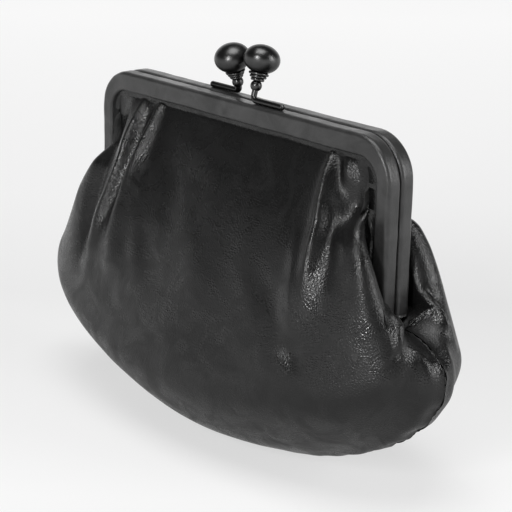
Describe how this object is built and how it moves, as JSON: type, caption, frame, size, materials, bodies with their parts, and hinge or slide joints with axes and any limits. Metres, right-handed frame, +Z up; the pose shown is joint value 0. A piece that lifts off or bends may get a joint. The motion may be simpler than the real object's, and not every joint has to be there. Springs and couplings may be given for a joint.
{
  "type": "kiss lock frame purse",
  "caption": "Gathered leather purse on a leather-covered metal frame whose two hinged halves snap shut with crossing balls.",
  "frame": {"origin": "middle of the flat rest under the pouch, on the surface that the purse stands on", "axes": "+Z up, +X to the right along the frame, the front panel faces -Y"},
  "size_m": [0.1964, 0.0758, 0.1397],
  "materials": {
    "channel_steel": "bright steel, hidden under the leather",
    "frame_leather": "smooth satin black leather",
    "paper_cord": "twisted paper",
    "gunmetal": "polished gunmetal plating",
    "pouch_leather": "soft black leather with a low sheen and fine creases",
    "lining": "plain woven black cotton",
    "thread": "waxed black thread"
  },
  "bodies": {
    "pouch": {"front_leather_pouch": "pouch_leather", "rear_leather_pouch": "pouch_leather", "front_lining_pouch": "lining", "rear_lining_pouch": "lining", "seam_thread": "thread", "left_hinge_rivet": "channel_steel", "right_hinge_rivet": "channel_steel"},
    "front_half": {"front_frame_channel": "channel_steel", "front_frame_wrap": "frame_leather", "front_paper_cord": "paper_cord", "front_clasp_stem": "gunmetal", "front_clasp_bead": "gunmetal", "front_clasp_collar": "gunmetal", "front_clasp_ball": "gunmetal", "front_leather_upper": "pouch_leather", "front_lining_upper": "lining"},
    "rear_half": {"rear_frame_channel": "channel_steel", "rear_frame_wrap": "frame_leather", "rear_paper_cord": "paper_cord", "rear_clasp_stem": "gunmetal", "rear_clasp_bead": "gunmetal", "rear_clasp_collar": "gunmetal", "rear_clasp_ball": "gunmetal", "rear_leather_upper": "pouch_leather", "rear_lining_upper": "lining"}
  },
  "joints": [
    {"name": "front_hinge", "type": "hinge", "parent": "pouch", "child": "front_half", "pos_m": [0, 0, 0.057], "axis": [1, 0, 0], "range_deg": [0, 40]},
    {"name": "rear_hinge", "type": "hinge", "parent": "pouch", "child": "rear_half", "pos_m": [0, 0, 0.057], "axis": [-1, 0, 0], "range_deg": [0, 40]}
  ],
  "couplings": [
    {"joint": "rear_hinge", "follows": "front_hinge", "ratio": 1}
  ]
}
